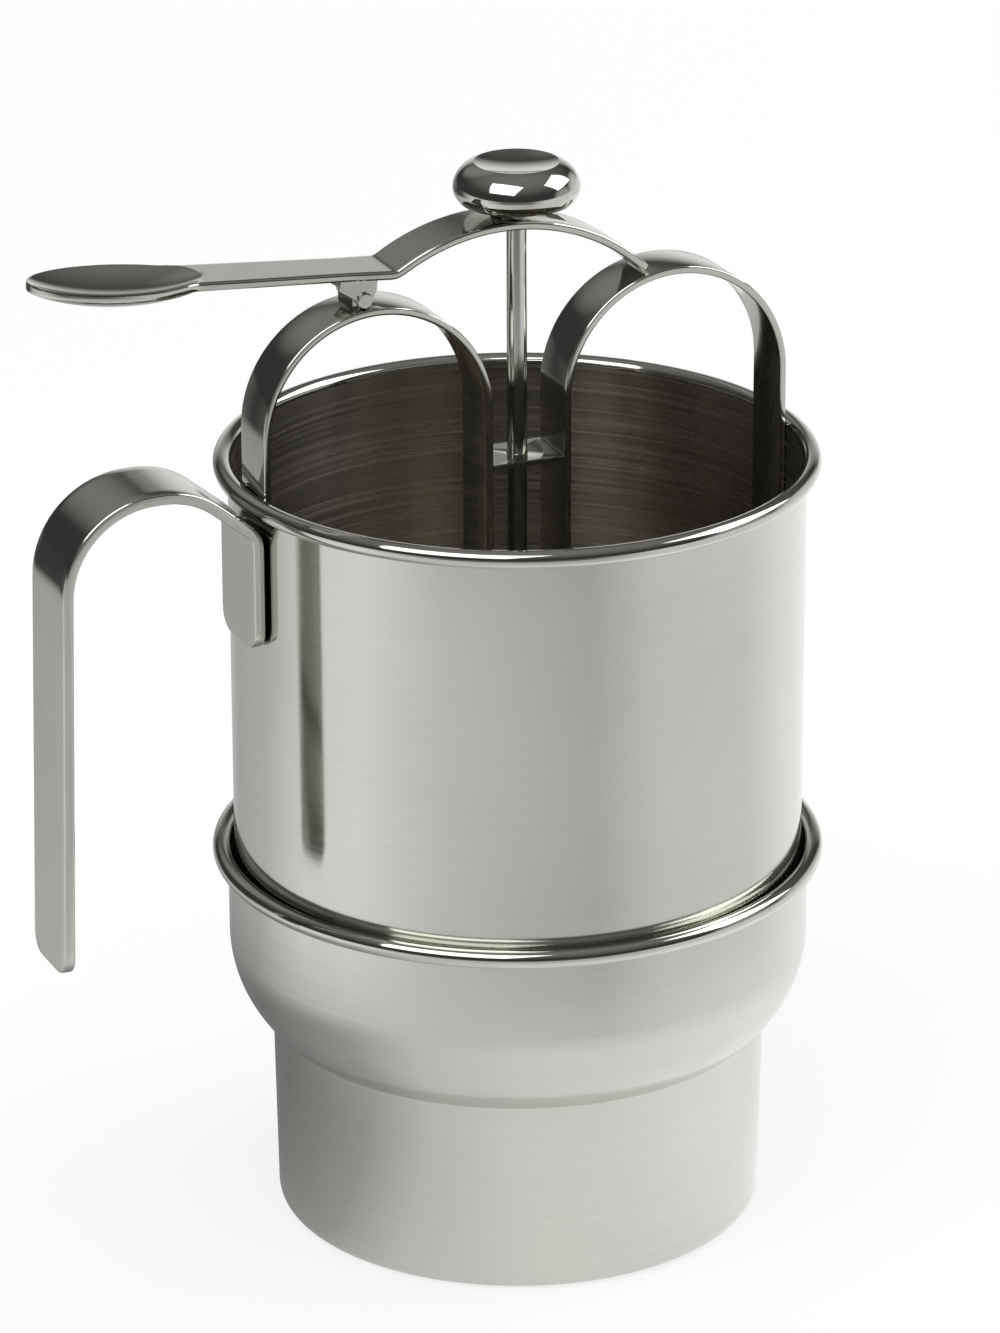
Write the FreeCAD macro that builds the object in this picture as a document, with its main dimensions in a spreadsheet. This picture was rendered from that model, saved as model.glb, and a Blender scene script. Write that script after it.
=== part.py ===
import FreeCAD, Part
import os
from math import atan2, hypot, pi

import Sketcher
from FreeCAD import Placement, Rotation, Vector

# Batter dispenser: a round can that nests in a stand, with a strap handle outside,
# a bent strap frame inside, and a thumb lever that lifts a rod and its stopper.
# Millimetres, Z up, origin at the centre of the stand's foot, handle towards -X.

doc = FreeCAD.newDocument("batter_dispenser")
sheet = doc.addObject("Spreadsheet::Sheet", "dims")

SIZES = {
    # can, with its funnel bottom
    "can_radius": 50.0,
    "can_wall": 0.7,
    "can_rim_height": 139.0,
    "can_bead_radius": 1.6,
    "funnel_slope": 30.0,
    # outlet tube under the can
    "nozzle_radius": 7.0,
    "nozzle_wall": 0.8,
    "nozzle_length": 7.0,
    # stand
    "seat_gap": 0.5,
    "stand_wall": 0.6,
    "stand_rim_height": 67.3,
    "stand_bead_radius": 1.65,
    "bowl_bend_radius": 21.8,
    "bowl_bend_height": 51.8,
    "neck_top_radius": 43.6,
    "neck_foot_radius": 43.0,
    "foot_fillet": 2.5,
    # strap frame inside the can
    "strap_width": 10.6,
    "strap_thickness": 1.35,
    "strap_wall_gap": 0.05,
    "frame_leg_depth": 45.0,
    "rod_side_gap": 4.9,
    "arch_centre_rise": 10.95,
    "lower_guide_height": 44.0,
    "shelf_thickness": 1.0,
    "shelf_rise": 0.9,
    # rod and stopper
    "rod_radius": 1.75,
    "rod_tail": 0.8,
    "guide_fit": 0.08,
    "thread_fit": 0.03,
    "seal_radius": 9.5,
    "seal_rim": 0.5,
    "seal_gap": 0.15,
    "cap_radius": 9.0,
    "cap_thickness": 1.6,
    "boss_radius": 3.6,
    "boss_height": 3.2,
    "nut_across_flats": 6.4,
    "nut_height": 3.0,
    # knob
    "knob_radius": 10.9,
    "knob_belly_height": 4.8,
    "knob_neck_radius": 4.6,
    "knob_neck_height": 0.8,
    "knob_lip_radius": 9.7,
    "knob_lip_height": 2.0,
    "knob_lower_bulge": 3.4,
    "knob_crown_radius": 7.3,
    "knob_height": 8.9,
    "knob_upper_bulge": 4.9,
    "knob_dish_depth": 0.8,
    "knob_bore_depth": 6.0,
    "knob_gap": 0.15,
    # hinge of the lever, on top of the arch that is nearer the handle
    "pivot_past_crown": 2.193,
    "barrel_radius": 1.65,
    "barrel_length": 6.8,
    "barrel_seat_depth": 2.3,
    "pin_radius": 0.8,
    "pin_fit": 0.05,
    "pin_head_radius": 1.4,
    "pin_head_height": 0.6,
    "ear_thickness": 1.0,
    "ear_side_gap": 0.1,
    "ear_end_radius": 1.4,
    "bracket_reach_out": 4.6,
    "bracket_reach_in": 2.2,
    "bracket_skirt": 1.7,
    # lever
    "lever_thickness": 1.5,
    "arm_slope": 4.5,
    "arm_height": 4.2,
    "arm_bend_width": 10.0,
    "arm_spoon_width": 12.0,
    "hump_radius": 37.0,
    "hump_centre_back": 2.0,
    "hump_centre_drop": 25.2,
    "hump_width": 10.6,
    "bend_radius": 2.5,
    "tip_gap": 0.15,
    "slot_towards_handle": 3.4,
    "slot_towards_tip": 8.5,
    "slot_side_gap": 0.35,
    "spoon_centre_out": 43.5,
    "spoon_half_length": 15.4,
    "spoon_half_width": 8.9,
    "spoon_depth": 2.6,
    "spoon_cut_ratio": 0.55,
    # handle
    "handle_width": 15.5,
    "handle_thickness": 2.0,
    "handle_top_rise": 5.6,
    "handle_knee_drop": 4.4,
    "handle_pad_drop": 25.5,
    "handle_foot_drop": 79.6,
    "handle_crest_reach": 12.4,
    "handle_shoulder_reach": 36.0,
    "handle_foot_reach": 38.0,
    "handle_shoulder_radius": 17.0,
    "handle_crest_radius": 16.0,
    "handle_knee_radius": 5.0,
    "handle_corner_radius": 3.5,
    "handle_wall_gap": 0.03,
}
for row, (alias, amount) in enumerate(SIZES.items(), start=1):
    sheet.set("A%d" % row, alias)
    sheet.set("B%d" % row, str(amount))
    sheet.setAlias("B%d" % row, alias)

# Places that follow from the sizes: each is a formula in the second sheet.
fits = doc.addObject("Spreadsheet::Sheet", "fits")
FORMULAS = {
    "can_inner": "dims.can_radius - dims.can_wall",
    "stand_inner": "dims.can_radius + dims.seat_gap",
    "stand_radius": "stand_inner + dims.stand_wall",
    "bend_centre": "stand_radius - dims.bowl_bend_radius",
    "crease_drop": "sqrt(dims.bowl_bend_radius ^ 2 - (dims.neck_top_radius - bend_centre) ^ 2)",
    "inner_crease_drop": "sqrt((dims.bowl_bend_radius - dims.stand_wall) ^ 2"
                         " - (dims.neck_top_radius - dims.stand_wall - bend_centre) ^ 2)",
    "can_bend": "dims.can_radius - bend_centre",
    "can_inner_bend": "can_bend - dims.can_wall",
    "funnel_top_radius": "bend_centre + can_bend * sin(dims.funnel_slope)",
    "funnel_top_height": "dims.bowl_bend_height - can_bend * cos(dims.funnel_slope)",
    "funnel_inner_radius": "bend_centre + can_inner_bend * sin(dims.funnel_slope)",
    "funnel_inner_height": "dims.bowl_bend_height - can_inner_bend * cos(dims.funnel_slope)",
    "outlet_outer_height": "funnel_top_height - (funnel_top_radius - dims.nozzle_radius)"
                           " * tan(dims.funnel_slope)",
    "outlet_inner_height": "funnel_inner_height - (funnel_inner_radius - dims.nozzle_radius)"
                           " * tan(dims.funnel_slope)",
    "nozzle_bore": "dims.nozzle_radius - dims.nozzle_wall",
    "nozzle_foot": "outlet_outer_height - dims.nozzle_length",
    "nozzle_lip": "outlet_inner_height - dims.nozzle_wall * tan(dims.funnel_slope)",
    "leg_out": "sqrt(can_inner ^ 2 - (dims.strap_width / 2) ^ 2) - dims.strap_wall_gap",
    "leg_in": "dims.rod_radius + dims.rod_side_gap",
    "arch_radius": "(leg_out - leg_in) / 2",
    "arch_out": "(leg_out + leg_in) / 2",
    "arch_height": "dims.can_rim_height + dims.arch_centre_rise",
    "leg_foot": "dims.can_rim_height - dims.frame_leg_depth",
    "shelf_foot": "dims.can_rim_height + dims.shelf_rise - dims.shelf_thickness",
    "pivot_offset": "arch_out + dims.pivot_past_crown",
    "pivot_height": "arch_height + dims.barrel_radius"
                    " + sqrt(arch_radius ^ 2 - dims.pivot_past_crown ^ 2)",
    "hump_centre_out": "pivot_offset - dims.hump_centre_back",
    "hump_height": "pivot_height - hump_centre_out * sin(dims.arm_slope)"
                   " - dims.hump_centre_drop * cos(dims.arm_slope)",
    "knob_foot": "hump_height + dims.hump_radius + dims.lever_thickness / 2 + dims.knob_gap",
    "seal_foot": "nozzle_lip + dims.seal_gap / cos(dims.funnel_slope)",
    "seal_top": "seal_foot + (dims.seal_radius - nozzle_bore) * tan(dims.funnel_slope)"
                " + dims.seal_rim",
    "rod_foot": "seal_foot - dims.nut_height - dims.rod_tail",
    "rod_top": "knob_foot + dims.knob_bore_depth - dims.knob_gap",
    "ear_inside": "dims.barrel_length / 2 + dims.ear_side_gap",
    "ear_outside": "ear_inside + dims.ear_thickness",
    "arm_under": "dims.arm_height - dims.lever_thickness / 2",
    "arm_over": "dims.arm_height + dims.lever_thickness / 2",
    "hump_inner": "dims.hump_radius - dims.lever_thickness / 2",
    "hump_outer": "dims.hump_radius + dims.lever_thickness / 2",
    "under_bend": "hump_centre_out"
                  " - sqrt(hump_inner ^ 2 - (arm_under + dims.hump_centre_drop) ^ 2)",
    "over_bend": "hump_centre_out"
                 " - sqrt(hump_outer ^ 2 - (arm_over + dims.hump_centre_drop) ^ 2)",
    # the far arch, seen from the pivot in the lever's own tilted frame
    "rest_across": "(arch_out + pivot_offset) * cos(dims.arm_slope)"
                   " - (arch_height - pivot_height) * sin(dims.arm_slope) - hump_centre_out",
    "rest_up": "(arch_out + pivot_offset) * sin(dims.arm_slope)"
               " + (arch_height - pivot_height) * cos(dims.arm_slope) + dims.hump_centre_drop",
    "rest_span": "sqrt(rest_across ^ 2 + rest_up ^ 2)",
    "rest_along": "(hump_inner ^ 2 - (arch_radius + dims.tip_gap) ^ 2 + rest_span ^ 2)"
                  " / (2 * rest_span)",
    "rest_off": "sqrt(hump_inner ^ 2 - rest_along ^ 2)",
    "tip_across": "(rest_across * rest_along - rest_up * rest_off) / rest_span",
    "tip_up": "(rest_up * rest_along + rest_across * rest_off) / rest_span",
    "spoon_drop": "(dims.spoon_depth + dims.lever_thickness) / (1 - dims.spoon_cut_ratio)",
    "spoon_side": "sqrt(1 - dims.spoon_cut_ratio ^ 2)",
    "spoon_level": "arm_over + spoon_drop * dims.spoon_cut_ratio",
}
for row, (alias, formula) in enumerate(FORMULAS.items(), start=1):
    fits.set("A%d" % row, alias)
    fits.set("B%d" % row, "=" + formula)
    fits.setAlias("B%d" % row, alias)
doc.recompute()


def number(expression):
    """Present value of an expression, for a first guess or a position."""
    result = sheet.evalExpression(str(expression))
    return float(getattr(result, "Value", result))


def minus(expression):
    return "-(%s)" % expression


def plane_of(body, role):
    """One of the body's own origin planes or axes."""
    return next(f for f in body.Origin.OriginFeatures if f.Role == role)


def new_sketch(body, name, role="XZ_Plane"):
    sketch = body.newObject("Sketcher::SketchObject", name)
    sketch.AttachmentSupport = (plane_of(body, role), [""])
    sketch.MapMode = "FlatFace"
    return sketch


def bind(sketch, constraint, expression):
    """Add a dimension to a sketch and tie it to an expression."""
    index = sketch.addConstraint(constraint)
    sketch.setExpression("Constraints[%d]" % index, str(expression))


def arc_between(start, stop, radius, bulge):
    """Counter-clockwise arc from start to stop (bulge -1) or from stop to start (bulge 1)."""
    chord = stop.sub(start)
    left = Vector(-chord.y, chord.x, 0).normalize()
    inward = max(radius ** 2 - (chord.Length / 2) ** 2, 0) ** 0.5
    centre = start.add(stop).multiply(0.5).sub(left.multiply(inward * bulge))
    first = atan2(start.y - centre.y, start.x - centre.x)
    last = atan2(stop.y - centre.y, stop.x - centre.x)
    if bulge > 0:
        first, last = last, first
    if last <= first:
        last += 2 * pi
    return Part.ArcOfCircle(Part.Circle(centre, Vector(0, 0, 1), radius), first, last)


def draw(sketch, corners):
    """Draw a closed outline whose corners and radii are expressions.

    A corner is (across, up), or (across, up, radius, bulge) where the edge to the next
    corner is an arc that bulges to the left (1) or to the right (-1) of its way.
    """
    points = [Vector(number(c[0]), number(c[1]), 0) for c in corners]
    ends = []
    for i, corner in enumerate(corners):
        start, stop = points[i], points[(i + 1) % len(corners)]
        if len(corner) == 2:
            index = sketch.addGeometry(Part.LineSegment(start, stop), False)
            ends.append((index, 1, 2))
        else:
            arc = arc_between(start, stop, number(corner[2]), corner[3])
            index = sketch.addGeometry(arc, False)
            ends.append((index, 2, 1) if corner[3] > 0 else (index, 1, 2))
    for here, after in zip(ends, ends[1:] + ends[:1]):
        sketch.addConstraint(
            Sketcher.Constraint("Coincident", here[0], here[2], after[0], after[1]))
    for (index, first, _), corner, point in zip(ends, corners, points):
        bind(sketch, Sketcher.Constraint("DistanceX", -1, 1, index, first, point.x), corner[0])
        bind(sketch, Sketcher.Constraint("DistanceY", -1, 1, index, first, point.y), corner[1])
        if len(corner) > 2:
            bind(sketch, Sketcher.Constraint("Radius", index, number(corner[2])), corner[2])


def turned(label, corners):
    """A body of revolution about Z, from half its section."""
    body = doc.addObject("PartDesign::Body", label)
    sketch = new_sketch(body, label + "_section")
    draw(sketch, corners)
    turn = body.newObject("PartDesign::Revolution", label + "_turn")
    turn.Profile = sketch
    turn.ReferenceAxis = (sketch, ["V_Axis"])
    turn.Angle = 360
    return body


def pad(body, sketch, width):
    """Pad a sketch to both sides of its plane."""
    made = body.newObject("PartDesign::Pad", sketch.Name + "_pad")
    made.Profile = sketch
    made.SideType = "Symmetric"
    made.setExpression("Length", width)
    return made


def fillet(body, base, radius, wanted):
    """Round the straight edges of a feature that a test picks out."""
    doc.recompute()
    names = ["Edge%d" % (i + 1) for i, edge in enumerate(base.Shape.Edges)
             if isinstance(edge.Curve, Part.Line) and wanted(edge)]
    made = body.newObject("PartDesign::Fillet", base.Name + "_round")
    made.Base = (base, names)
    made.setExpression("Radius", radius)
    return made


def crosswise_at(across, up):
    """Test for an edge along Y that passes a place in the XZ plane."""
    place = Vector(number(across), 0, number(up))

    def wanted(edge):
        middle = edge.CenterOfMass
        return (abs(edge.Curve.Direction.y) > 0.99
                and hypot(middle.x - place.x, middle.z - place.z) < 0.01)
    return wanted


def cylinder(label, radius, height, place=("0", "0", "0"), axis=None):
    """Part cylinder at a place, standing on Z or centred along Y."""
    made = doc.addObject("Part::Cylinder", label)
    made.setExpression("Radius", radius)
    made.setExpression("Height", height)
    along = list(place)
    if axis == "Y":
        made.Placement = Placement(Vector(), Rotation(Vector(1, 0, 0), -90))
        along[1] = "%s - (%s) / 2" % (place[1], height)
    for name, expression in zip("xyz", along):
        made.setExpression("Placement.Base." + name, expression)
    return made


def box(label, low, size):
    """Part box from its low corner and its three sides."""
    made = doc.addObject("Part::Box", label)
    for name, expression in zip(("Length", "Width", "Height"), size):
        made.setExpression(name, expression)
    for name, expression in zip("xyz", low):
        made.setExpression("Placement.Base." + name, expression)
    return made


def combine(kind, label, first, *others):
    """Boolean of two or more objects: Cut, Common or Fuse."""
    result = first
    for i, other in enumerate(others):
        made = doc.addObject("Part::" + kind, label if i == len(others) - 1 else label + "_%d" % i)
        made.Base = result
        made.Tool = other
        result = made
    return result


# Stand: a spun cup, wide at the top, with a rolled rim and a narrower neck under it.
def make_stand():
    bead = "dims.stand_bead_radius"
    middle = "(fits.stand_inner + %s)" % bead
    tuck = "sqrt(%s ^ 2 - (fits.stand_radius - %s) ^ 2)" % (bead, middle)
    top = "dims.stand_rim_height"
    bend = "dims.bowl_bend_height"
    neck = "(dims.neck_top_radius - dims.stand_wall)"
    foot = "(dims.neck_foot_radius - dims.stand_wall)"
    turned("stand_shell", [
        ("0", "0"),
        ("dims.neck_foot_radius - dims.foot_fillet", "0", "dims.foot_fillet", -1),
        ("dims.neck_foot_radius", "dims.foot_fillet"),
        ("dims.neck_top_radius", bend + " - fits.crease_drop", "dims.bowl_bend_radius", -1),
        ("fits.stand_radius", bend),
        ("fits.stand_radius", "%s - %s" % (top, tuck), bead, -1),
        ("%s + %s" % (middle, bead), top, bead, -1),
        (middle, "%s + %s" % (top, bead), bead, -1),
        ("fits.stand_inner", top),
        ("fits.stand_inner", bend, "dims.bowl_bend_radius - dims.stand_wall", 1),
        (neck, bend + " - fits.inner_crease_drop"),
        (foot, "dims.foot_fillet", "dims.foot_fillet - dims.stand_wall", 1),
        ("dims.neck_foot_radius - dims.foot_fillet", "dims.stand_wall"),
        ("0", "dims.stand_wall"),
    ])


# Can: straight wall with a rolled rim, and a funnel bottom that nests in the bowl.
def make_can():
    bead = "dims.can_bead_radius"
    middle = "(fits.can_inner + %s)" % bead
    tuck = "sqrt(%s ^ 2 - (dims.can_radius - %s) ^ 2)" % (bead, middle)
    top = "dims.can_rim_height"
    bend = "dims.bowl_bend_height"
    turned("can_shell", [
        ("dims.nozzle_radius", "fits.outlet_outer_height"),
        ("fits.funnel_top_radius", "fits.funnel_top_height", "fits.can_bend", -1),
        ("dims.can_radius", bend),
        ("dims.can_radius", "%s - %s" % (top, tuck), bead, -1),
        ("%s + %s" % (middle, bead), top, bead, -1),
        (middle, "%s + %s" % (top, bead), bead, -1),
        ("fits.can_inner", top),
        ("fits.can_inner", bend, "fits.can_inner_bend", 1),
        ("fits.funnel_inner_radius", "fits.funnel_inner_height"),
        ("dims.nozzle_radius", "fits.outlet_inner_height"),
    ])
    turned("outlet_nozzle", [
        ("fits.nozzle_bore", "fits.nozzle_foot"),
        ("dims.nozzle_radius", "fits.nozzle_foot"),
        ("dims.nozzle_radius", "fits.outlet_inner_height"),
        ("fits.nozzle_bore", "fits.nozzle_lip"),
    ])


# Handle: one flat strap, bent over at the top and welded to the can at its pad.
def make_handle():
    body = doc.addObject("PartDesign::Body", "handle")
    sketch = new_sketch(body, "handle_side")
    wall = "-(dims.can_radius + dims.handle_wall_gap)"
    top = "dims.can_rim_height + dims.handle_top_rise"
    corners = [
        (wall, "dims.can_rim_height - dims.handle_pad_drop"),
        (wall, "dims.can_rim_height - dims.handle_knee_drop"),
        ("-(dims.can_radius + dims.handle_crest_reach)", top),
        ("-(dims.can_radius + dims.handle_shoulder_reach)", top),
        ("-(dims.can_radius + dims.handle_foot_reach)", "dims.can_rim_height - dims.handle_foot_drop"),
    ]
    gauge = number("dims.handle_thickness")
    outer = [Vector(number(x), number(z), 0) for x, z in corners]
    inner = strap_inside(outer, gauge)
    lines = [sketch.addGeometry(Part.LineSegment(a, b), False) for a, b in zip(outer, outer[1:])]
    cap = sketch.addGeometry(Part.LineSegment(outer[-1], inner[-1]), False)
    backs = [sketch.addGeometry(Part.LineSegment(a, b), False) for a, b in zip(inner, inner[1:])]
    foot = sketch.addGeometry(Part.LineSegment(inner[0], outer[0]), False)
    for chain in (lines, backs):
        for here, after in zip(chain, chain[1:]):
            sketch.addConstraint(Sketcher.Constraint("Coincident", here, 2, after, 1))
    for one, one_end, two, two_end in (
            (lines[-1], 2, cap, 1), (cap, 2, backs[-1], 2), (foot, 1, backs[0], 1),
            (foot, 2, lines[0], 1)):
        sketch.addConstraint(Sketcher.Constraint("Coincident", one, one_end, two, two_end))
    for front, back in zip(lines, backs):
        sketch.addConstraint(Sketcher.Constraint("Parallel", front, back))
        bind(sketch, Sketcher.Constraint("Distance", back, 1, front, gauge),
             "dims.handle_thickness")
    sketch.addConstraint(Sketcher.Constraint("Perpendicular", cap, lines[-1]))
    sketch.addConstraint(Sketcher.Constraint("Perpendicular", foot, lines[0]))
    ends = [(line, 1) for line in lines] + [(lines[-1], 2)]
    for (line, end), (across, up), point in zip(ends, corners, outer):
        bind(sketch, Sketcher.Constraint("DistanceX", -1, 1, line, end, point.x), across)
        bind(sketch, Sketcher.Constraint("DistanceY", -1, 1, line, end, point.y), up)
    solid = pad(body, sketch, "dims.handle_width")
    bends = (("handle_knee_radius", 1), ("handle_crest_radius", 2), ("handle_shoulder_radius", 3))
    for size, i in bends:
        solid = fillet(body, solid, "dims." + size, crosswise_at(outer[i].x, outer[i].y))
        solid = fillet(body, solid, "dims.%s - dims.handle_thickness" % size,
                       crosswise_at(inner[i].x, inner[i].y))
    half = number("dims.handle_width") / 2

    def at_strap_end(edge):
        middle = edge.CenterOfMass
        near_end = min(hypot(middle.x - (a.x + b.x) / 2, middle.z - (a.y + b.y) / 2)
                       for a, b in ((outer[0], inner[0]), (outer[-1], inner[-1])))
        return abs(edge.Length - gauge) < 0.01 and abs(abs(middle.y) - half) < 0.01 and near_end < 0.01
    fillet(body, solid, "dims.handle_corner_radius", at_strap_end)


def strap_inside(outer, gauge):
    """Corners of a strap's inside, for an outside that turns to the left."""
    offsets = []
    for a, b in zip(outer, outer[1:]):
        way = b.sub(a).normalize()
        offsets.append((a.add(Vector(-way.y, way.x, 0).multiply(gauge)), way))
    inner = [offsets[0][0]]
    for (start, way), (other, turn) in zip(offsets, offsets[1:]):
        gap = other.sub(start)
        along = (gap.x * turn.y - gap.y * turn.x) / (way.x * turn.y - way.y * turn.x)
        inner.append(start.add(Vector(way).multiply(along)))
    start, way = offsets[-1]
    inner.append(start.add(Vector(way).multiply(outer[-1].sub(outer[-2]).Length)))
    return inner


# Strap frame: one strap bent into two arches, with a U between them that guides the rod.
def make_strap_frame():
    body = doc.addObject("PartDesign::Body", "strap_bent")
    sketch = new_sketch(body, "strap_side")
    gauge = "dims.strap_thickness"
    high = "fits.arch_height"
    low = "dims.lower_guide_height"
    foot = "fits.leg_foot"
    out, near, reach = "fits.leg_out", "fits.leg_in", "fits.arch_radius"
    back = "(fits.arch_radius - %s)" % gauge
    bow = "(fits.leg_in + %s)" % gauge
    out_back = "(fits.leg_out - %s)" % gauge
    crown = "fits.arch_out"
    draw(sketch, [
        (minus(out), foot),
        (minus(out), high, reach, 1),
        (minus(crown), "%s + %s" % (high, reach), reach, 1),
        (minus(near), high),
        (minus(near), low, near, -1),
        ("0", "%s - %s" % (low, near), near, -1),
        (near, low),
        (near, high, reach, 1),
        (crown, "%s + %s" % (high, reach), reach, 1),
        (out, high),
        (out, foot),
        (out_back, foot),
        (out_back, high, back, -1),
        (crown, "%s + %s" % (high, back), back, -1),
        (bow, high),
        (bow, low, bow, 1),
        ("0", "%s - %s" % (low, bow), bow, 1),
        (minus(bow), low),
        (minus(bow), high, back, -1),
        (minus(crown), "%s + %s" % (high, back), back, -1),
        (minus(out_back), high),
        (minus(out_back), foot),
    ])
    pad(body, sketch, "dims.strap_width")
    passage = cylinder("strap_passage", "dims.rod_radius + dims.guide_fit", low)
    combine("Cut", "strap_frame", body, passage)


# Guide shelf: a small plate welded between the inner legs, level with the can's rim.
def make_guide_shelf():
    plate = box("shelf_plate", ("-fits.leg_in", "-dims.strap_width / 2", "fits.shelf_foot"),
                ("2 * fits.leg_in", "dims.strap_width", "dims.shelf_thickness"))
    passage = cylinder("shelf_passage", "dims.rod_radius + dims.guide_fit",
                       "3 * dims.shelf_thickness", ("0", "0", "fits.shelf_foot - dims.shelf_thickness"))
    combine("Cut", "guide_shelf", plate, passage)


# Hinge barrel: a short tube with a foot that follows the arch it is welded to.
def make_hinge_barrel():
    place = ("-fits.pivot_offset", "0", "fits.pivot_height")
    tube = cylinder("barrel_tube", "dims.barrel_radius", "dims.barrel_length", place, "Y")
    seat = box("barrel_seat",
               ("-fits.pivot_offset - dims.barrel_radius", "-dims.barrel_length / 2",
                "fits.pivot_height - dims.barrel_seat_depth"),
               ("2 * dims.barrel_radius", "dims.barrel_length", "dims.barrel_seat_depth"))
    arch = cylinder("barrel_arch", "fits.arch_radius", "2 * dims.barrel_length",
                    ("-fits.arch_out", "0", "fits.arch_height"), "Y")
    bore = cylinder("barrel_bore", "dims.pin_radius + dims.pin_fit", "2 * dims.barrel_length",
                    place, "Y")
    combine("Cut", "hinge_barrel", combine("Fuse", "barrel_body", tube, seat), arch, bore)


# Pivot pin: a rivet through the lever's two ears and the barrel between them.
def make_pivot_pin():
    place = ("-fits.pivot_offset", "0", "fits.pivot_height")
    shank = cylinder("pin_shank", "dims.pin_radius",
                     "2 * (fits.ear_outside + dims.pin_head_height)", place, "Y")
    heads = []
    for name, way in (("pin_head_near", "-"), ("pin_head_far", "")):
        middle = "%s(fits.ear_outside + dims.pin_head_height / 2)" % way
        heads.append(cylinder(name, "dims.pin_head_radius", "dims.pin_head_height",
                              (place[0], middle, place[2]), "Y"))
    combine("Fuse", "pivot_pin", shank, *heads)


def put_on_pivot(made):
    """Tilt a piece drawn about the pivot to the slope of the lever's arm."""
    made.Placement = Placement(Vector(), Rotation(Vector(0, 1, 0), number("dims.arm_slope")))
    made.setExpression("Placement.Base.x", "-fits.pivot_offset")
    made.setExpression("Placement.Base.z", "fits.pivot_height")
    made.setExpression("Placement.Rotation.Angle", "dims.arm_slope")


# Lever bracket: a channel under the arm whose two ears go down to the pin.
def make_lever_bracket():
    body = doc.addObject("PartDesign::Body", "bracket_block")
    sketch = new_sketch(body, "bracket_side")
    top = "fits.arm_under"
    skirt = "fits.arm_under - dims.bracket_skirt"
    end = "dims.ear_end_radius"
    draw(sketch, [
        (minus("dims.bracket_reach_out"), top),
        (minus("dims.bracket_reach_out"), skirt),
        (minus(end), "0", end, -1),
        ("0", minus(end), end, -1),
        (end, "0"),
        ("dims.bracket_reach_in", skirt),
        ("dims.bracket_reach_in", top),
    ])
    pad(body, sketch, "2 * fits.ear_outside")
    reach = "(dims.bracket_reach_out + dims.bracket_reach_in)"
    inside = box("bracket_inside",
                 ("-2 * dims.bracket_reach_out", "-fits.ear_inside", "-2 * " + end),
                 ("3 * " + reach, "2 * fits.ear_inside",
                  "fits.arm_under - dims.ear_thickness + 2 * " + end))
    bore = cylinder("bracket_bore", "dims.pin_radius + dims.thread_fit", "4 * fits.ear_outside",
                    ("0", "0", "0"), "Y")
    put_on_pivot(combine("Cut", "lever_bracket", body, inside, bore))


# Lever: a strip with a thumb spoon, bent up into a hump that carries the knob.
def make_lever():
    side_view = doc.addObject("PartDesign::Body", "lever_side_view")
    sketch = new_sketch(side_view, "lever_side")
    centre = "fits.hump_centre_out"
    sunk = "dims.hump_centre_drop"
    shell = "fits.hump_outer / fits.hump_inner"
    tip = ("%s + fits.tip_across" % centre, "fits.tip_up - %s" % sunk)
    tip_over = ("%s + fits.tip_across * %s" % (centre, shell), "fits.tip_up * %s - %s" % (shell, sunk))
    back = minus("dims.spoon_centre_out")
    draw(sketch, [
        (back, "fits.arm_under"),
        ("fits.under_bend", "fits.arm_under", "fits.hump_inner", 1),
        tip,
        tip_over + ("fits.hump_outer", -1),
        ("fits.over_bend", "fits.arm_over"),
        (back, "fits.arm_over"),
    ])
    solid = pad(side_view, sketch, "3 * dims.hump_width")
    solid = fillet(side_view, solid, "dims.bend_radius",
                   crosswise_at("fits.over_bend", "fits.arm_over"))
    fillet(side_view, solid, "dims.bend_radius + dims.lever_thickness",
           crosswise_at("fits.under_bend", "fits.arm_under"))
    plan_view = doc.addObject("PartDesign::Body", "lever_plan_view")
    plan = new_sketch(plan_view, "lever_plan", "XY_Plane")
    far = "%s + fits.hump_outer" % centre
    draw(plan, [
        (back, "dims.arm_spoon_width / 2"),
        (back, "-dims.arm_spoon_width / 2"),
        (minus("dims.bend_radius"), "-dims.arm_bend_width / 2"),
        ("fits.over_bend + dims.bend_radius", "-dims.hump_width / 2"),
        (far, "-dims.hump_width / 2"),
        (far, "dims.hump_width / 2"),
        ("fits.over_bend + dims.bend_radius", "dims.hump_width / 2"),
        (minus("dims.bend_radius"), "dims.arm_bend_width / 2"),
    ])
    pad(plan_view, plan, "4 * dims.hump_radius")
    strip = combine("Common", "lever_strip_flat", side_view, plan_view)
    dish_outer = ellipsoid("spoon_outer", "0")
    dish_inner = ellipsoid("spoon_inner", "dims.lever_thickness")
    below = box("spoon_below",
                (minus("2 * dims.spoon_centre_out"), "-2 * dims.spoon_half_width",
                 "fits.arm_over - 2 * fits.spoon_drop"),
                ("2 * dims.spoon_centre_out", "4 * dims.spoon_half_width", "2 * fits.spoon_drop"))
    dish = combine("Common", "spoon_bowl", dish_outer, below)
    formed = combine("Cut", "lever_formed", combine("Fuse", "lever_joined", strip, dish), dish_inner)
    put_on_pivot(formed)
    half = "(dims.rod_radius + dims.slot_side_gap)"
    slot = box("lever_slot", ("-dims.slot_towards_handle", "-" + half, "fits.hump_height"),
               ("dims.slot_towards_handle + dims.slot_towards_tip", "2 * " + half,
                "2 * dims.hump_radius"))
    combine("Cut", "lever", formed, slot)


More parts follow.
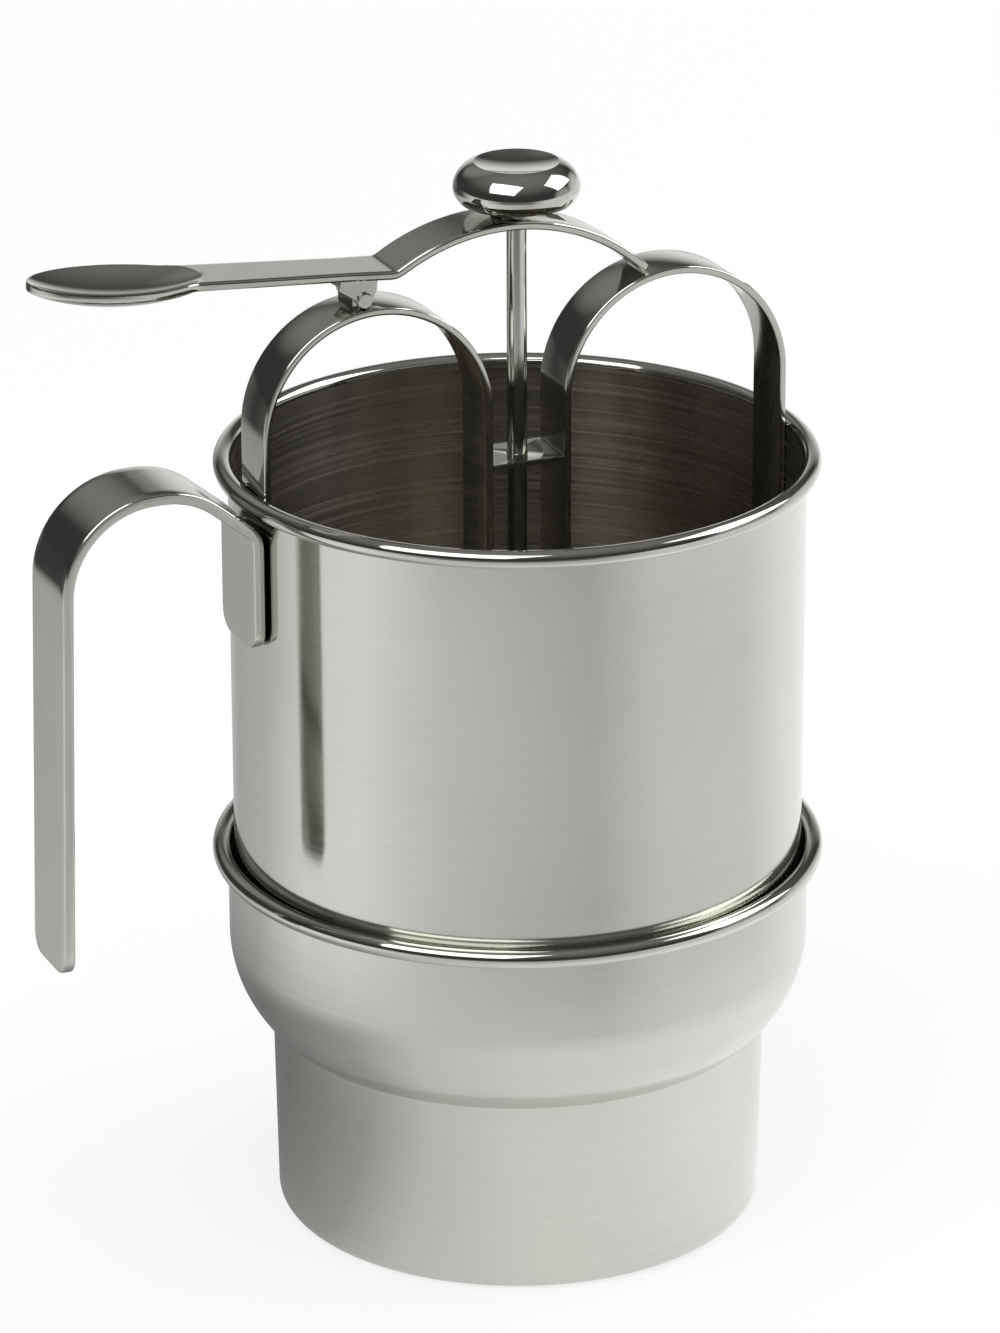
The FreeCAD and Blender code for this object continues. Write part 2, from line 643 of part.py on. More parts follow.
def ellipsoid(label, inset):
    """Ellipsoid whose cut gives the spoon's oval, drawn in by a wall thickness."""
    made = doc.addObject("Part::Ellipsoid", label)
    made.Angle1 = -90
    made.Angle2 = 90
    made.Angle3 = 360
    made.setExpression("Radius1", "fits.spoon_drop - %s" % inset)
    made.setExpression("Radius2", "dims.spoon_half_length / fits.spoon_side - %s" % inset)
    made.setExpression("Radius3", "dims.spoon_half_width / fits.spoon_side - %s" % inset)
    made.setExpression("Placement.Base.x", "-dims.spoon_centre_out")
    made.setExpression("Placement.Base.z", "fits.spoon_level")
    return made


# Plunger: the rod, the knob on its top, and the stopper parts on its lower end.
def make_plunger():
    cylinder("plunger_rod", "dims.rod_radius", "fits.rod_top - fits.rod_foot",
             ("0", "0", "fits.rod_foot"))
    bore = "dims.rod_radius + dims.thread_fit"
    high = "dims.knob_height"
    dish = "%s - dims.knob_dish_depth" % high
    dish_radius = ("(dims.knob_crown_radius ^ 2 + dims.knob_dish_depth ^ 2)"
                   " / (2 * dims.knob_dish_depth)")
    knob = turned("knob", [
        (bore, "0"),
        ("dims.knob_neck_radius", "0"),
        ("dims.knob_neck_radius", "dims.knob_neck_height"),
        ("dims.knob_lip_radius", "dims.knob_lip_height", "dims.knob_lower_bulge", -1),
        ("dims.knob_radius", "dims.knob_belly_height", "dims.knob_upper_bulge", -1),
        ("dims.knob_crown_radius", high, dish_radius, 1),
        ("0", dish),
        ("0", "dims.knob_bore_depth"),
        (bore, "dims.knob_bore_depth"),
    ])
    knob.setExpression("Placement.Base.z", "fits.knob_foot")
    slope = "tan(dims.funnel_slope)"
    turned("seal_plug", [
        (bore, "fits.seal_foot"),
        ("fits.nozzle_bore", "fits.seal_foot"),
        ("dims.seal_radius", "fits.seal_foot + (dims.seal_radius - fits.nozzle_bore) * " + slope),
        ("dims.seal_radius", "fits.seal_top"),
        (bore, "fits.seal_top"),
    ])
    cap_top = "fits.seal_top + dims.cap_thickness"
    turned("stopper_cap", [
        (bore, "fits.seal_top"),
        ("dims.cap_radius", "fits.seal_top"),
        ("dims.cap_radius", "%s - dims.cap_thickness / 2" % cap_top),
        ("dims.cap_radius - dims.cap_thickness / 2", cap_top),
        ("dims.boss_radius", cap_top),
        ("dims.boss_radius", cap_top + " + dims.boss_height"),
        (bore, cap_top + " + dims.boss_height"),
    ])
    prism = doc.addObject("Part::Prism", "nut_prism")
    prism.Polygon = 6
    prism.setExpression("Circumradius", "dims.nut_across_flats / 2 / cos(30)")
    prism.setExpression("Height", "dims.nut_height")
    prism.setExpression("Placement.Base.z", "fits.seal_foot - dims.nut_height")
    thread = cylinder("nut_thread", bore, "3 * dims.nut_height",
                      ("0", "0", "fits.seal_foot - 2 * dims.nut_height"))
    combine("Cut", "stopper_nut", prism, thread)


make_stand()
make_can()
make_handle()
make_strap_frame()
make_guide_shelf()
make_hinge_barrel()
make_pivot_pin()
make_lever_bracket()
make_lever()
make_plunger()

NODES = (
    "stand_shell", "can_shell", "outlet_nozzle", "handle", "strap_frame", "guide_shelf",
    "hinge_barrel", "pivot_pin", "lever_bracket", "lever", "plunger_rod", "knob",
    "seal_plug", "stopper_cap", "stopper_nut",
)

doc.recompute()
for made in doc.Objects:
    if "Invalid" in made.State or "Error" in made.State:
        raise RuntimeError("%s did not build: %s" % (made.Name, made.State))
for node in NODES:
    made = doc.getObject(node)
    made.Label = node
    if made.Shape.isNull() or not made.Shape.isValid():
        raise RuntimeError(node + " has no valid shape")
    if len(made.Shape.Solids) != 1:
        raise RuntimeError("%s has %d solids" % (node, len(made.Shape.Solids)))

os.makedirs("parts", exist_ok=True)
for node in NODES:
    shape = doc.getObject(node).Shape
    shape.exportStep("parts/%s.step" % node)
    corner = shape.BoundBox
    print("%-14s %9.1f mm3  x %7.2f %7.2f  y %7.2f %7.2f  z %7.2f %7.2f" % (
        node, shape.Volume, corner.XMin, corner.XMax, corner.YMin, corner.YMax,
        corner.ZMin, corner.ZMax))
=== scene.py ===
from math import atan2, ceil, cos, pi, radians, sin, sqrt, tan

import bmesh
import bpy
from mathutils import Matrix, Vector


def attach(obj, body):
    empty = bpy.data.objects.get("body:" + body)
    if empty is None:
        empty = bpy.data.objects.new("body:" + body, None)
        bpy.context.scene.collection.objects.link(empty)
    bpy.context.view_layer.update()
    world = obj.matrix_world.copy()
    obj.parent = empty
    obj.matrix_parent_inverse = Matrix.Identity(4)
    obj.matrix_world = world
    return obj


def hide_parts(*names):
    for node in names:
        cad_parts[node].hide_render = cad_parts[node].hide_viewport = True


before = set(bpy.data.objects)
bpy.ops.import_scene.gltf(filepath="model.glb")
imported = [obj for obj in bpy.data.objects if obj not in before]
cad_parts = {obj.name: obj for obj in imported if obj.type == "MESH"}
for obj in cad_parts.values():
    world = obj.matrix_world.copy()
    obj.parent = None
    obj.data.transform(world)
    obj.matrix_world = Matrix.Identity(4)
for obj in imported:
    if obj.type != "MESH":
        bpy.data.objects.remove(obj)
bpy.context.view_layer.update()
print("frame:", len(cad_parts), "solids loaded")

scene = bpy.context.scene
mm = 0.001
closeEnough = 1e-6  # metres, for merging doubled points
sharpAngle = 25  # degrees between two faces, from which their edge is shaded sharp


def leftOf(way):
    return Vector((-way.y, way.x))


def arcPoints(middle, radius, first, sweep, steps):
    turns = [first + sweep * k / steps for k in range(steps + 1)]
    return [middle + Vector((cos(turn), sin(turn))) * radius for turn in turns]


# outlines are in millimetres: (across, up), or (across, up, radius, side) where an arc starts
def bentLine(corners, degrees=4.0):
    points = []
    for i, corner in enumerate(corners):
        start = Vector(corner[:2])
        points.append(start)
        if len(corner) == 2:
            continue
        stop = Vector(corners[(i + 1) % len(corners)][:2])
        radius, side = corner[2:]
        chord = stop - start
        inward = sqrt(max(radius ** 2 - chord.length_squared / 4, 0))
        centre = (start + stop) / 2 - leftOf(chord).normalized() * inward * side
        first = atan2(start.y - centre.y, start.x - centre.x)
        sweep = (atan2(stop.y - centre.y, stop.x - centre.x) - first) * -side % (2 * pi) * -side
        steps = max(2, ceil(abs(sweep) / radians(degrees)))
        points += arcPoints(centre, radius, first, sweep, steps)[1:-1]
    return points


def softened(points, radii, steps):  # a polyline with its inner corners rounded by arcs
    line = [Vector(points[0])]
    for before, here, after, radius in zip(points, points[1:], points[2:], radii):
        toBefore, toAfter = (before - here).normalized(), (after - here).normalized()
        half = toBefore.angle(toAfter) / 2
        reach = radius / tan(half)
        middle = here + (toBefore + toAfter).normalized() * radius / sin(half)
        start, stop = here + toBefore * reach - middle, here + toAfter * reach - middle
        first = atan2(start.y, start.x)
        sweep = (atan2(stop.y, stop.x) - first + pi) % (2 * pi) - pi
        line += arcPoints(middle, radius, first, sweep, steps)
    line.append(Vector(points[-1]))
    return line


def resampled(points, step):  # adds points so that no run is longer than step
    line = [points[0]]
    for a, b in zip(points, points[1:]):
        count = max(1, ceil((b - a).length / step))
        line += [a.lerp(b, k / count) for k in range(1, count + 1)]
    return line


def cornerInset(toEnd, corner):  # how far a rounded corner draws an edge in, near the end
    return corner - sqrt(corner ** 2 - max(corner - toEnd, 0) ** 2)


def addObject(name, data):
    thing = bpy.data.objects.new(name, data)
    scene.collection.objects.link(thing)
    return thing


def polyCurve(name, points, closed):
    data = bpy.data.curves.new(name, "CURVE")
    data.dimensions = "3D"
    spline = data.splines.new("POLY")
    spline.points.add(len(points) - 1)
    for place, point in zip(spline.points, points):
        place.co = (*(Vector(point).to_3d() * mm), 1)
    spline.use_cyclic_u = closed
    return addObject(name, data)


def evaluatedMesh(source):
    graph = bpy.context.evaluated_depsgraph_get()
    return bpy.data.meshes.new_from_object(source.evaluated_get(graph))


def finishPiece(source, name, body, slotName, nodeName):  # a clean mesh that replaces a solid
    mesh = evaluatedMesh(source)
    bpy.data.objects.remove(source)
    bm = bmesh.new()
    bm.from_mesh(mesh)
    bmesh.ops.remove_doubles(bm, verts=bm.verts, dist=closeEnough)
    bmesh.ops.dissolve_degenerate(bm, edges=bm.edges, dist=closeEnough)
    loose = [v for v in bm.verts if not v.link_faces]
    bmesh.ops.delete(bm, geom=loose, context="VERTS")
    bmesh.ops.recalc_face_normals(bm, faces=bm.faces)
    bm.to_mesh(mesh)
    bm.free()
    mesh.shade_smooth()
    mesh.set_sharp_from_angle(angle=radians(sharpAngle))
    mesh.materials.clear()
    mesh.materials.append(finishes[slotName])
    piece = addObject(name, mesh)
    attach(piece, body)
    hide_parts(nodeName)
    return piece


def cutWith(source, cutter):  # a hole or slot: the cutter goes away afterwards
    thing = addObject(source.name + ".cut", evaluatedMesh(source))
    bpy.data.objects.remove(source)
    modifier = thing.modifiers.new("hole", "BOOLEAN")
    modifier.operation = "DIFFERENCE"
    modifier.solver = "EXACT"
    modifier.object = cutter
    mesh = evaluatedMesh(thing)
    thing.modifiers.clear()
    thing.data = mesh
    bpy.data.objects.remove(cutter)
    return thing


def cutterObject(bm):
    mesh = bpy.data.meshes.new("cutter")
    bm.to_mesh(mesh)
    bm.free()
    return addObject("cutter", mesh)


def roundCutter(radius, low, high, segments=48):
    bm = bmesh.new()
    bmesh.ops.create_cone(bm, cap_ends=True, segments=segments, radius1=radius * mm,
                          radius2=radius * mm, depth=(high - low) * mm,
                          matrix=Matrix.Translation((0, 0, (low + high) / 2 * mm)))
    return cutterObject(bm)


def boxCutter(low, high):  # between two opposite corners
    low, high = Vector(low) * mm, Vector(high) * mm
    bm = bmesh.new()
    bmesh.ops.create_cube(bm, size=1.0, matrix=Matrix.Translation((low + high) / 2)
                          @ Matrix.Diagonal((*(high - low), 1)))
    return cutterObject(bm)


nodesInRow, nodeSpacing = 8, (220, 320)  # how the node editor shows a tree


def addNode(tree, kind, links=(), **settings):
    node = tree.nodes.new(kind)
    row, column = divmod(len(tree.nodes), nodesInRow)
    node.location = (column * nodeSpacing[0], -row * nodeSpacing[1])
    for name, setting in settings.items():
        setattr(node, name, setting)
    for socketName, source in links:
        socket = node.inputs[socketName]
        if isinstance(source, bpy.types.NodeSocket):
            tree.links.new(source, socket)
        else:
            socket.default_value = source
    return node


def nodeTree(name, inputs):
    tree = bpy.data.node_groups.new(name, "GeometryNodeTree")
    tree.interface.new_socket("Geometry", in_out="INPUT", socket_type="NodeSocketGeometry")
    sockets = {}
    for label, kind in inputs:
        sockets[label] = tree.interface.new_socket(
            label, in_out="INPUT", socket_type="NodeSocket" + kind).identifier
    tree.interface.new_socket("Geometry", in_out="OUTPUT", socket_type="NodeSocketGeometry")
    return tree, sockets


def endTree(tree, geometry, finish):
    real = addNode(tree, "GeometryNodeRealizeInstances", [("Geometry", geometry)])
    dressed = addNode(tree, "GeometryNodeSetMaterial", [
        ("Geometry", real.outputs["Geometry"]), ("Material", finish)])
    addNode(tree, "NodeGroupOutput", [("Geometry", dressed.outputs["Geometry"])])


def makeSpinTree():
    tree, sockets = nodeTree("spun metal", [
        ("Segments", "Int"), ("Turning Radius", "Float"), ("Finish", "Material")])
    group = addNode(tree, "NodeGroupInput")
    path = addNode(tree, "GeometryNodeCurvePrimitiveCircle", [
        ("Resolution", group.outputs["Segments"]), ("Radius", group.outputs["Turning Radius"])])
    swept = addNode(tree, "GeometryNodeCurveToMesh", [
        ("Curve", path.outputs["Curve"]), ("Profile Curve", group.outputs["Geometry"])])
    merged = addNode(tree, "GeometryNodeMergeByDistance", [
        ("Geometry", swept.outputs["Mesh"]), ("Distance", closeEnough)])
    endTree(tree, merged.outputs["Geometry"], group.outputs["Finish"])
    return tree, sockets


def makeStrapTree():
    tree, sockets = nodeTree("bent strap", [
        ("Width", "Float"), ("Thickness", "Float"), ("Edge Radius", "Float"),
        ("Edge Steps", "Int"), ("Finish", "Material")])
    group = addNode(tree, "NodeGroupInput")
    section = addNode(tree, "GeometryNodeCurvePrimitiveQuadrilateral", [
        ("Width", group.outputs["Thickness"]), ("Height", group.outputs["Width"])])
    rounded = addNode(tree, "GeometryNodeFilletCurve", [
        ("Curve", section.outputs["Curve"]), ("Radius", group.outputs["Edge Radius"]),
        ("Count", group.outputs["Edge Steps"])], mode="POLY")
    swept = addNode(tree, "GeometryNodeCurveToMesh", [
        ("Curve", group.outputs["Geometry"]), ("Profile Curve", rounded.outputs["Curve"]),
        ("Fill Caps", True)])
    endTree(tree, swept.outputs["Mesh"], group.outputs["Finish"])
    return tree, sockets


spinTree, spinSockets = makeSpinTree()
strapTree, strapSockets = makeStrapTree()
turningRadius = 100.0  # of the circle that outlines are swept round; spunPiece takes it off again


def grown(thing, tree, sockets, **wanted):  # puts a tree on an object with its named inputs
    modifier = thing.modifiers.new(tree.name, "NODES")
    modifier.node_group = tree
    for label, setting in wanted.items():
        modifier[sockets[label.replace("_", " ")]] = setting
    return thing


def spunPiece(outline, name, body, slotName, nodeName, segments, closed=True):
    points = [(across - turningRadius, -up) for across, up in outline]
    source = grown(polyCurve(name + ".outline", points, closed), spinTree, spinSockets,
                   Segments=segments, Turning_Radius=turningRadius * mm,
                   Finish=finishes[slotName])
    return finishPiece(source, name, body, slotName, nodeName)


def maths(tree, kind, first, second=0.0):
    return addNode(tree, "ShaderNodeMath", [(0, first), (1, second)], operation=kind).outputs[0]


def vectorMaths(tree, kind, first, second=(0, 0, 0)):
    node = addNode(tree, "ShaderNodeVectorMath", [(0, first), (1, second)], operation=kind)
    return node.outputs["Value"]


def combined(tree, x=0.0, y=0.0, z=0.0):
    return addNode(tree, "ShaderNodeCombineXYZ", [("X", x), ("Y", y), ("Z", z)]).outputs[0]


def mapped(tree, value, low=0.0, high=1.0, toLow=0.0, toHigh=1.0, kind="LINEAR"):
    return addNode(tree, "ShaderNodeMapRange", [
        ("Value", value), ("From Min", low), ("From Max", high), ("To Min", toLow),
        ("To Max", toHigh)], interpolation_type=kind).outputs[0]


def noise(tree, vector, scale, detail, roughness=0.5):
    return addNode(tree, "ShaderNodeTexNoise", [
        ("Vector", vector), ("Scale", scale), ("Detail", detail),
        ("Roughness", roughness)]).outputs["Fac"]


def mixedNumber(tree, share, first, second):  # 2 and 3 are the mix node's two numbers
    return addNode(tree, "ShaderNodeMix", [("Factor", share), (2, first), (3, second)],
                   data_type="FLOAT").outputs[0]


def mixedColour(tree, share, first, second):  # 6 and 7 are its two colours, and 2 comes out
    return addNode(tree, "ShaderNodeMix", [
        ("Factor", share), (6, (*first, 1)), (7, (*second, 1))], data_type="RGBA").outputs[2]


def mixedShader(tree, share, first, second):
    return addNode(tree, "ShaderNodeMixShader", [
        ("Fac", share), (1, first), (2, second)]).outputs[0]


def rayKinds(tree):  # two values: 1 where the camera sees it directly, 1 where metal mirrors it
    path = addNode(tree, "ShaderNodeLightPath").outputs
    mirrored = maths(tree, "MAXIMUM", path["Is Glossy Ray"], path["Is Transmission Ray"])
    return path["Is Camera Ray"], mirrored


def newFinish(name, metallic=0.0):
    material = bpy.data.materials.new(name)
    material.use_nodes = True
    tree = material.node_tree
    shader = tree.nodes["Principled BSDF"]
    shader.inputs["Metallic"].default_value = metallic
    return material, tree, shader.inputs


def joinFinish(tree, inputs, look, colour, rough, height):
    bump = addNode(tree, "ShaderNodeBump", [
        ("Height", height), ("Strength", look["bump"]), ("Distance", look["bumpDepth"] * mm)])
    tree.links.new(colour, inputs["Base Color"])
    tree.links.new(rough, inputs["Roughness"])
    tree.links.new(bump.outputs["Normal"], inputs["Normal"])


noiseRange = (0.3, 0.7)  # nearly all of a noise lies between these
streakRange = (0.35, 0.65)  # narrower, so that the streaks have more contrast


def steelFinish(name, look):
    material, tree, inputs = newFinish(name, metallic=1.0)
    inputs["Anisotropic"].default_value = look["stretch"]
    inputs["Anisotropic Rotation"].default_value = look["stretchTurn"]
    coords = addNode(tree, "ShaderNodeTexCoord").outputs["Object"]
    x, y, z = addNode(tree, "ShaderNodeSeparateXYZ", [(0, coords)]).outputs[:3]
    if look["grain"] == "round":  # brushed while it turned, so the lines run round the axis
        reach = vectorMaths(tree, "LENGTH", combined(tree, x, y))
        lineAxis = maths(tree, "ADD", maths(tree, "MULTIPLY", z, look["lines"]),
                         maths(tree, "MULTIPLY", reach, look["lines"]))
        along, tangent = (x, y), combined(tree, maths(tree, "MULTIPLY", y, -1.0), x)
    else:  # brushed along a strap that is bent in the XZ plane
        lineAxis = maths(tree, "MULTIPLY", y, look["lines"])
        along, tangent = (x, z), combined(tree, y=1.0)
    brushed = combined(tree, *(maths(tree, "MULTIPLY", axis, look["along"]) for axis in along),
                       lineAxis)
    lines = noise(tree, brushed, scale=1.0, detail=4.0, roughness=0.65)
    cloud = noise(tree, coords, scale=look["cloudScale"], detail=3.0)
    mixed = mixedColour(tree, mapped(tree, cloud, *noiseRange), look["colour"],
                        look["cloudColour"])
    streak = mapped(tree, lines, *streakRange, -look["lineTone"], look["lineTone"])
    toned = addNode(tree, "ShaderNodeHueSaturation", [
        ("Color", mixed), ("Value", maths(tree, "ADD", streak, 1.0))])
    rough = mapped(tree, lines, *noiseRange, *look["rough"])
    joinFinish(tree, inputs, look, toned.outputs["Color"], rough, lines)
    if look["stretch"]:
        tree.links.new(tangent, inputs["Tangent"])
    return material


def siliconeFinish(name, look):
    material, tree, inputs = newFinish(name)
    coords = addNode(tree, "ShaderNodeTexCoord").outputs["Object"]
    cloud = noise(tree, coords, scale=look["cloudScale"], detail=4.0)
    mixed = mixedColour(tree, cloud, look["colour"], look["cloudColour"])
    rough = mapped(tree, cloud, toLow=look["rough"][0], toHigh=look["rough"][1])
    joinFinish(tree, inputs, look, mixed, rough, cloud)
    return material


satinSteel = {  # spun shells, polished and then brushed round
    "colour": (0.68, 0.69, 0.63), "cloudColour": (0.63, 0.655, 0.605), "cloudScale": 28.0,
    "grain": "round", "lines": 1700.0, "along": 14.0, "lineTone": 0.018,
    "rough": (0.085, 0.135), "bump": 0.05, "bumpDepth": 0.02,
    "stretch": 0.65, "stretchTurn": 0.25,
}
brushedSteel = {  # inside the shells, where the turning lines were left
    "colour": (0.62, 0.59, 0.52), "cloudColour": (0.52, 0.485, 0.42), "cloudScale": 22.0,
    "grain": "round", "lines": 1500.0, "along": 9.0, "lineTone": 0.11,
    "rough": (0.2, 0.3), "bump": 0.12, "bumpDepth": 0.03,
    "stretch": 0.9, "stretchTurn": 0.25,
}
strapSteel = {  # straps: smoother, with faint lines along them
    "colour": (0.61, 0.61, 0.56), "cloudColour": (0.57, 0.575, 0.52), "cloudScale": 60.0,
    "grain": "straight", "lines": 1800.0, "along": 12.0, "lineTone": 0.03,
    "rough": (0.08, 0.15), "bump": 0.06, "bumpDepth": 0.02,
    "stretch": 0.0, "stretchTurn": 0.0,
}
mirrorSteel = {  # the knob, the rod and the rims
    "colour": (0.66, 0.665, 0.61), "cloudColour": (0.62, 0.625, 0.57), "cloudScale": 120.0,
    "grain": "round", "lines": 900.0, "along": 20.0, "lineTone": 0.015,
    "rough": (0.04, 0.085), "bump": 0.02, "bumpDepth": 0.02,
    "stretch": 0.0, "stretchTurn": 0.0,
}
paleSilicone = {
    "colour": (0.62, 0.61, 0.57), "cloudColour": (0.5, 0.49, 0.45), "cloudScale": 300.0,
    "rough": (0.4, 0.6), "bump": 0.2, "bumpDepth": 0.05,
}
finishes = {  # by slot
    "shell_steel": steelFinish("satin_steel", satinSteel),
    "strap_steel": steelFinish("strap_steel", strapSteel),
    "lever_steel": steelFinish("lever_steel", {**strapSteel, "rough": (0.1, 0.16)}),
    "rod_steel": steelFinish("rod_steel", {**mirrorSteel, "rough": (0.09, 0.14)}),
    "knob_steel": steelFinish("knob_steel", mirrorSteel),
    "seal_silicone": siliconeFinish("seal_silicone", paleSilicone),
}
insideMetal = steelFinish("brushed_steel", brushedSteel)
rimMetal = steelFinish("rim_steel", {**mirrorSteel, "rough": (0.05, 0.09)})
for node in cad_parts.values():  # shows only on a solid that no piece replaces
    node.data.materials.clear()
    node.data.materials.append(finishes["strap_steel"])
print("finishes ready")


facingIn = -0.1  # a face is on the inside where its normal points outward less than this


def finishShell(piece, rimStart):  # brushed inside, and polished from rimStart up
    piece.data.materials.append(insideMetal)
    piece.data.materials.append(rimMetal)
    insideSlot, rimSlot = 1, 2
    for face in piece.data.polygons:
        across = face.center.xy
        outward = face.normal.xy.dot(across) / max(across.length, closeEnough)
        if face.center.z / mm > rimStart:
            face.material_index = rimSlot
        elif outward < facingIn:
            face.material_index = insideSlot


standSizes = {
    "inside": 50.5, "wall": 0.6, "rimHeight": 67.3, "beadRadius": 1.65,
    "bendRadius": 21.8, "bendHeight": 51.8, "neckTop": 43.6, "neckFoot": 43.0,
    "footRadius": 2.5, "segments": 192,
}


def makeStand(size):
    wall, inside, outside = size["wall"], size["inside"], size["inside"] + size["wall"]
    bead, middle, top = size["beadRadius"], inside + size["beadRadius"], size["rimHeight"]
    tuck = sqrt(bead ** 2 - (outside - middle) ** 2)
    centre, bend, height = outside - size["bendRadius"], size["bendRadius"], size["bendHeight"]
    inner = bend - wall
    neck, innerNeck = size["neckTop"], size["neckTop"] - wall
    crease = height - sqrt(bend ** 2 - (neck - centre) ** 2)
    innerCrease = height - sqrt(inner ** 2 - (innerNeck - centre) ** 2)
    foot, turn = size["neckFoot"], size["footRadius"]
    outline = bentLine([
        (0, 0),
        (foot - turn, 0, turn, -1),
        (foot, turn),
        (neck, crease, bend, -1),
        (outside, height),
        (outside, top - tuck, bead, -1),
        (middle + bead, top, bead, -1),
        (middle, top + bead, bead, -1),
        (inside, top),
        (inside, height, inner, 1),
        (innerNeck, innerCrease),
        (foot - wall, turn, turn - wall, 1),
        (foot - turn, wall),
        (0, wall),
    ])
    stand = spunPiece(outline, "stand_body", "stand", "shell_steel", "stand_shell",
                      size["segments"], closed=False)
    finishShell(stand, top - tuck)


canSizes = {
    "radius": 50.0, "wall": 0.7, "rimHeight": 139.0, "beadRadius": 1.6,
    "bendCentre": 29.3, "bendHeight": 51.8, "funnelSlope": 30.0, "segments": 192,
    "outletRadius": 7.0, "outletWall": 0.8, "outletLength": 7.0, "outletSegments": 96,
}


def makeCan(size):
    inside, outside = size["radius"] - size["wall"], size["radius"]
    bead, middle, top = size["beadRadius"], inside + size["beadRadius"], size["rimHeight"]
    tuck = sqrt(bead ** 2 - (outside - middle) ** 2)
    slope, height, centre = radians(size["funnelSlope"]), size["bendHeight"], size["bendCentre"]
    bend, inner, outlet = outside - centre, inside - centre, size["outletRadius"]

    def funnel(radius):  # where the round corner meets the cone, and the cone at the outlet
        across, up = centre + radius * sin(slope), height - radius * cos(slope)
        return (across, up), up - (across - outlet) * tan(slope)

    outerCone, outerOutlet = funnel(bend)
    innerCone, innerOutlet = funnel(inner)
    outline = bentLine([
        (outlet, outerOutlet),
        (*outerCone, bend, -1),
        (outside, height),
        (outside, top - tuck, bead, -1),
        (middle + bead, top, bead, -1),
        (middle, top + bead, bead, -1),
        (inside, top),
        (inside, height, inner, 1),
        innerCone,
        (outlet, innerOutlet),
    ])
    can = spunPiece(outline, "can_body", "can", "shell_steel", "can_shell", size["segments"])
    finishShell(can, top - tuck)
    bore, soft = outlet - size["outletWall"], size["outletWall"] / 3
    foot = outerOutlet - size["outletLength"]
    tube = bentLine([
        (bore, foot + soft, soft, -1),
        (bore + soft, foot),
        (outlet - soft, foot, soft, -1),
        (outlet, foot + soft),
        (outlet, innerOutlet),
        (bore, innerOutlet - size["outletWall"] * tan(slope)),
    ], degrees=20)
    spunPiece(tube, "outlet_tube", "can", "shell_steel", "outlet_nozzle", size["outletSegments"])


frameSizes = {
    "width": 10.6, "thickness": 1.35, "edge": 0.35, "legOut": 48.964, "legIn": 6.65,
    "archHeight": 149.95, "legFoot": 94.0, "guideHeight": 44.0, "passage": 1.83,
    "edgeSteps": 3,
}


def makeStrapFrame(size):
    half = size["thickness"] / 2
    out, near = size["legOut"] - half, size["legIn"] + half
    reach, crown = (size["legOut"] - size["legIn"]) / 2 - half, (size["legOut"] + size["legIn"]) / 2
    high, low = size["archHeight"], size["guideHeight"]
    line = bentLine([
        (-out, size["legFoot"]),
        (-out, high, reach, 1),
        (-crown, high + reach, reach, 1),
        (-near, high),
        (-near, low, near, -1),
        (0, low - near, near, -1),
        (near, low),
        (near, high, reach, 1),
        (crown, high + reach, reach, 1),
        (out, high),
        (out, size["legFoot"]),
    ], degrees=3)
    path = polyCurve("frame.path", [(x, 0, z) for x, z in line], False)
    source = grown(path, strapTree, strapSockets, Width=size["width"] * mm,
                   Thickness=size["thickness"] * mm, Edge_Radius=size["edge"] * mm,
                   Edge_Steps=size["edgeSteps"], Finish=finishes["strap_steel"])
    bottom, depth = low - near, 2 * size["thickness"]
    source = cutWith(source, roundCutter(size["passage"], bottom - depth, bottom + depth))
    finishPiece(source, "inner_strap_frame", "can", "strap_steel", "strap_frame")


edgeSteps = 3  # faces round a strip's edge
leastHalf = 0.02  # half the width where a strip comes to a point
edgeShare = 0.9  # the most of the half width that a rounded edge takes


# a strip whose middle follows a line in the XZ plane, with rounded edges and its own width
def stripMesh(name, line, widthAt, thickness, edge, columns, sinkAt=lambda place, across: 0.0):
    vertices, faces, rings = [], [], []
    lengths = [0.0]
    for a, b in zip(line, line[1:]):
        lengths.append(lengths[-1] + (b - a).length)

    def addPoint(ring, place, up, across, rise):
        spot = place + up * (rise + sinkAt(place, across))
        ring.append(len(vertices))
        vertices.append(tuple(Vector((spot.x, across, spot.y)) * mm))

    for i, place in enumerate(line):
        up = leftOf((line[min(i + 1, len(line) - 1)] - line[max(i - 1, 0)]).normalized())
        half = max(widthAt(lengths[i], lengths[-1], place), leastHalf)
        soft = min(edge, half * edgeShare)
        ring = []
        for side, face, start in ((1, 1, 0), (-1, 1, 90), (-1, -1, 180), (1, -1, 270)):
            across, rise = side * (half - soft), face * (thickness / 2 - edge)
            for k in range(edgeSteps + 1):
                turn = radians(start + 90 * k / edgeSteps)
                addPoint(ring, place, up, across + soft * cos(turn), rise + edge * sin(turn))
            if side == face:  # points across the wide face that follows
                for k in range(1, columns):
                    addPoint(ring, place, up, across * (1 - 2 * k / columns), face * thickness / 2)
        rings.append(ring)
    count = len(rings[0])
    for one, two in zip(rings, rings[1:]):
        for k in range(count):
            following = (k + 1) % count
            faces.append((one[k], one[following], two[following], two[k]))
    faces += [tuple(reversed(rings[0])), tuple(rings[-1])]
    mesh = bpy.data.meshes.new(name)
    mesh.from_pydata(vertices, [], faces)
    return addObject(name, mesh)


handleSizes = {
    "width": 15.5, "thickness": 2.0, "edge": 0.45, "wall": 50.03,
    "padFoot": 113.5, "knee": 134.6, "crest": 62.4, "top": 144.6, "shoulder": 86.0,
    "footOut": 88.0, "footHeight": 59.4, "bends": (5.0, 16.0, 17.0), "corner": 3.5,
    "columns": 8, "bendSteps": 20, "cornerSteps": 8, "longestStep": 1.0,
}


